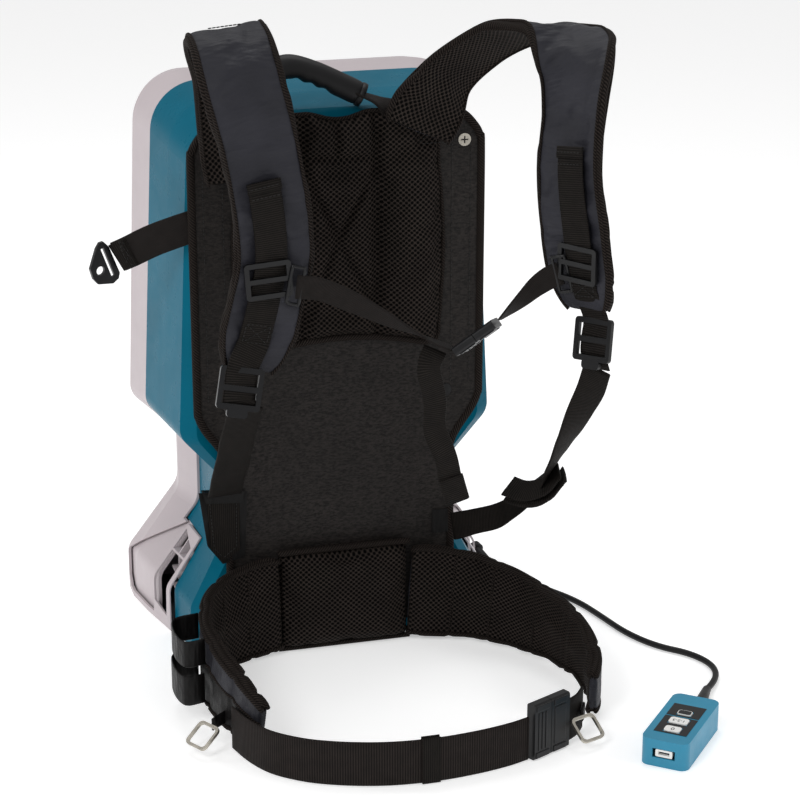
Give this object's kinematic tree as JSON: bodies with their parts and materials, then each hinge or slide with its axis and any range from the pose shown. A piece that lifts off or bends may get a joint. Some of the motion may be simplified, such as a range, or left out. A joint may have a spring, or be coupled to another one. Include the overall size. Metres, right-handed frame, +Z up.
{
  "type": "backpack vacuum cleaner",
  "caption": "Cordless backpack vacuum cleaner on a padded shoulder and waist harness, with a wired hand remote and its hose unplugged.",
  "frame": {"origin": "centre of the flat underside of the base, midway between its front and rear faces", "axes": "+Z up, the harness and the wearer are towards -Y, +X is the side with the hose inlet and the remote cord"},
  "size_m": [0.6455, 0.6438, 0.7226],
  "materials": {
    "teal_plastic": "gloss",
    "grey_plastic": "satin",
    "black_plastic": "satin",
    "red_plastic": "satin",
    "white_plastic": "satin",
    "black_rubber": "matte",
    "webbing": "woven",
    "air_mesh": "knitted",
    "nylon": "woven",
    "leatherette": "grained",
    "steel": "polished",
    "aluminium": "cast",
    "filter_paper": "pleated",
    "bag_cloth": "fleece"
  },
  "bodies": {
    "machine": {"back_pad": "air_mesh", "base_pan": "grey_plastic", "battery_terminals": "black_plastic", "belt_wing_left": "air_mesh", "belt_wing_right": "air_mesh", "bulkhead": "grey_plastic", "cord_gland": "black_rubber", "cord_relief": "black_rubber", "dust_bag": "bag_cloth", "exhaust_filter": "filter_paper", "front_housing": "teal_plastic", "harness_plate": "leatherette", "hose_collar": "black_plastic", "hose_strap": "webbing", "housing_screws": "steel", "lid_hinge_pin": "steel", "lumbar_pad": "air_mesh", "motor_bearings": "steel", "motor_can": "aluminium", "plate_screws": "steel", "rear_cover": "grey_plastic", "remote_case_lower": "teal_plastic", "remote_case_upper": "teal_plastic", "remote_clip": "white_plastic", "remote_cord": "black_rubber", "shoulder_pad_left": "nylon", "shoulder_pad_right": "nylon", "strap_webbing_left": "webbing", "strap_webbing_right": "webbing", "tool_loops": "webbing", "waist_buckle_socket": "black_plastic", "waist_webbing_left": "webbing", "waist_webbing_right": "webbing", "webbing_anchors": "nylon"},
    "fan": {"motor_shaft": "steel", "impeller": "aluminium"},
    "hose_socket": {"hose_socket": "black_plastic"},
    "dust_lid": {"dust_lid": "teal_plastic"},
    "lid_latch": {"lid_latch": "black_plastic"},
    "battery_left": {"battery_left": "black_plastic"},
    "battery_right": {"battery_right": "black_plastic"},
    "battery_button_left": {"battery_button_left": "red_plastic"},
    "battery_button_right": {"battery_button_right": "red_plastic"},
    "remote_button_stop": {"remote_button_stop": "white_plastic"},
    "remote_button_speed": {"remote_button_speed": "white_plastic"},
    "remote_button_battery": {"remote_button_battery": "black_plastic"},
    "carry_handle": {"carry_grip": "black_rubber", "carry_strap": "webbing"},
    "ladder_lock_left": {"ladder_lock_left": "black_plastic"},
    "ladder_lock_right": {"ladder_lock_right": "black_plastic"},
    "chest_strap": {"chest_slider_left": "black_plastic", "chest_slider_right": "black_plastic", "chest_strap_left": "webbing", "chest_strap_right": "webbing", "chest_buckle_socket": "black_plastic"},
    "chest_plug": {"chest_buckle_plug": "black_plastic"},
    "waist_plug": {"waist_buckle_plug": "black_plastic"},
    "belt_ring_left": {"belt_ring_left": "steel"},
    "belt_ring_right": {"belt_ring_right": "steel"},
    "hose_ring": {"hose_strap_ring": "black_plastic"}
  },
  "joints": [
    {"name": "fan_spin", "type": "hinge", "parent": "machine", "child": "fan", "pos_m": [0, -0.02, 0.2], "axis": [0, 0, 1], "continuous": true},
    {"name": "hose_socket_swivel", "type": "hinge", "parent": "machine", "child": "hose_socket", "pos_m": [0.19, 0.06, 0.3], "axis": [1, 0, 0], "continuous": true},
    {"name": "dust_lid_hinge", "type": "hinge", "parent": "machine", "child": "dust_lid", "pos_m": [0, 0.122, 0.244], "axis": [-1, 0, 0], "range_deg": [0, 100]},
    {"name": "lid_latch_turn", "type": "hinge", "parent": "dust_lid", "child": "lid_latch", "pos_m": [0, 0.122, 0.548], "axis": [0, 1, 0], "range_deg": [0, 90]},
    {"name": "battery_left_slide", "type": "slide", "parent": "machine", "child": "battery_left", "axis": [0, 1, 0], "range_m": [0, 0.12]},
    {"name": "battery_right_slide", "type": "slide", "parent": "machine", "child": "battery_right", "axis": [0, 1, 0], "range_m": [0, 0.12]},
    {"name": "battery_button_left_press", "type": "slide", "parent": "battery_left", "child": "battery_button_left", "axis": [0, -1, 0], "range_m": [0, 0.002], "stiffness_N_per_m": 600, "springref_m": -0.002},
    {"name": "battery_button_right_press", "type": "slide", "parent": "battery_right", "child": "battery_button_right", "axis": [0, -1, 0], "range_m": [0, 0.002], "stiffness_N_per_m": 600, "springref_m": -0.002},
    {"name": "remote_stop_press", "type": "slide", "parent": "machine", "child": "remote_button_stop", "axis": [0, 0, -1], "range_m": [0, 0.001], "stiffness_N_per_m": 800, "springref_m": -0.001},
    {"name": "remote_speed_press", "type": "slide", "parent": "machine", "child": "remote_button_speed", "axis": [0, 0, -1], "range_m": [0, 0.001], "stiffness_N_per_m": 800, "springref_m": -0.001},
    {"name": "remote_battery_press", "type": "slide", "parent": "machine", "child": "remote_button_battery", "axis": [0, 0, -1], "range_m": [0, 0.001], "stiffness_N_per_m": 800, "springref_m": -0.001},
    {"name": "carry_handle_fold", "type": "hinge", "parent": "machine", "child": "carry_handle", "pos_m": [0, -0.118, 0.594], "axis": [1, 0, 0], "range_deg": [0, 30]},
    {"name": "ladder_lock_left_tilt", "type": "hinge", "parent": "machine", "child": "ladder_lock_left", "pos_m": [-0.139, -0.267, 0.388], "axis": [-0.9781, 0, 0.2079], "range_deg": [0, 30]},
    {"name": "ladder_lock_right_tilt", "type": "hinge", "parent": "machine", "child": "ladder_lock_right", "pos_m": [0.203, -0.362, 0.44], "axis": [-0.5279, 0.8448, -0.0872], "range_deg": [0, 30]},
    {"name": "chest_strap_slide", "type": "slide", "parent": "machine", "child": "chest_strap", "axis": [0, 0, 1], "range_m": [-0.02, 0.01]},
    {"name": "chest_buckle_release", "type": "slide", "parent": "chest_strap", "child": "chest_plug", "axis": [-0.7405, 0.2695, -0.6157], "range_m": [0, 0.024], "deforming": ["chest_strap_left"]},
    {"name": "waist_buckle_release", "type": "slide", "parent": "machine", "child": "waist_plug", "axis": [-0.8988, -0.4384, 0], "range_m": [0, 0.026], "deforming": ["waist_webbing_left"]},
    {"name": "belt_ring_left_swing", "type": "hinge", "parent": "machine", "child": "belt_ring_left", "pos_m": [-0.196, -0.337, 0.027], "axis": [-0.5, 0.866, 0], "range_deg": [0, 80]},
    {"name": "belt_ring_right_swing", "type": "hinge", "parent": "machine", "child": "belt_ring_right", "pos_m": [0.178, -0.422, 0.027], "axis": [-0.9397, -0.342, 0], "range_deg": [0, 80]},
    {"name": "hose_ring_swing", "type": "hinge", "parent": "machine", "child": "hose_ring", "pos_m": [-0.2415, -0.08, 0.457], "axis": [-0.3322, -0.1209, 0.9354], "range_deg": [-30, 60]}
  ]
}
